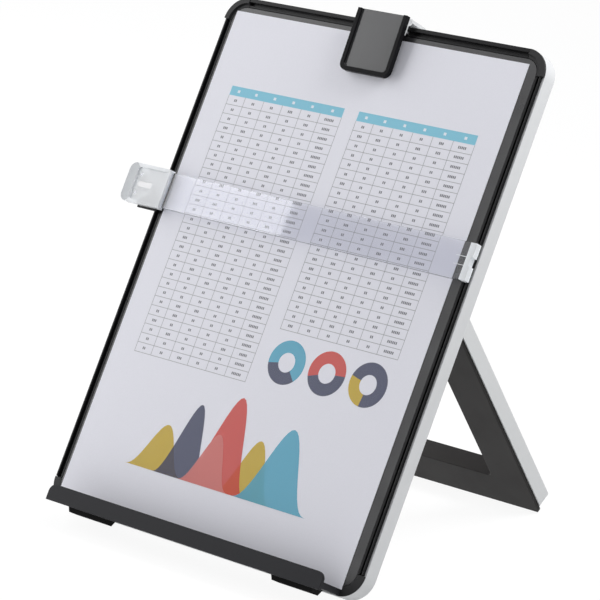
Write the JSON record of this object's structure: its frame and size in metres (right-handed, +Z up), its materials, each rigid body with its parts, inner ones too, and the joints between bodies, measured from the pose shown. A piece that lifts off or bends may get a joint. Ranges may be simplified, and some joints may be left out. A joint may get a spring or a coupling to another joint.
{
  "type": "copy holder with line guide",
  "caption": "Leaning document board with a ledge, a sliding clear line guide, a sprung clip on the top edge and a folding easel leg.",
  "frame": {"origin": "centre of the outline on the table that it stands on", "axes": "+X to the reader's right across the board, +Y away from the reader, +Z up"},
  "size_m": [0.252, 0.1976, 0.2756],
  "materials": {
    "silver_plastic": "fine silver paint, satin",
    "dark_textured_plastic": "fine grain, matt",
    "dark_gloss_plastic": "moulded, semi gloss",
    "clear_plastic": "clear, polished",
    "frosted_plastic": "clear with a frosted rim",
    "rubber": "matt",
    "steel": "bright",
    "paper": "printed sheet"
  },
  "bodies": {
    "board": {"rear_shell": "silver_plastic", "front_panel": "dark_textured_plastic", "track_left": "dark_gloss_plastic", "track_right": "dark_gloss_plastic", "track_top": "dark_gloss_plastic", "corner_cap_top_left": "dark_gloss_plastic", "corner_cap_top_right": "dark_gloss_plastic", "corner_cap_bottom_left": "dark_gloss_plastic", "corner_cap_bottom_right": "dark_gloss_plastic", "panel_screws": "steel", "ledge": "dark_textured_plastic", "ledge_pad_left": "rubber", "ledge_pad_right": "rubber", "leg_pin_left": "steel", "leg_pin_right": "steel", "paper_sheet": "paper"},
    "leg": {"leg_shell": "silver_plastic", "leg_frame": "dark_gloss_plastic", "leg_screws": "steel"},
    "line_guide": {"guide_bar": "clear_plastic", "guide_grip": "frosted_plastic", "guide_shoe": "dark_gloss_plastic", "guide_spring": "steel", "guide_rivets": "steel", "guide_hook": "frosted_plastic"},
    "clip_carriage_body": {"clip_carriage": "silver_plastic", "clip_pin": "steel", "clip_spring": "steel"},
    "clip_jaw_body": {"clip_jaw": "dark_gloss_plastic", "clip_pad": "rubber"}
  },
  "joints": [
    {"name": "leg_fold", "type": "hinge", "parent": "board", "child": "leg", "pos_m": [0.0116, 0.01051, 0.14091], "axis": [-1, 0, 0], "range_deg": [0, 62.8]},
    {"name": "guide_slide", "type": "slide", "parent": "board", "child": "line_guide", "axis": [0, 0.5255, 0.8508], "range_m": [-0.16, 0.076]},
    {"name": "clip_slide", "type": "slide", "parent": "board", "child": "clip_carriage_body", "axis": [1, 0, 0], "range_m": [-0.083, 0.083]},
    {"name": "jaw_open", "type": "hinge", "parent": "clip_carriage_body", "child": "clip_jaw_body", "pos_m": [0.0116, 0.07973, 0.27105], "axis": [-1, 0, 0], "range_deg": [0, 25], "stiffness_Nm_per_rad": 0.06, "springref_deg": -20.05}
  ]
}
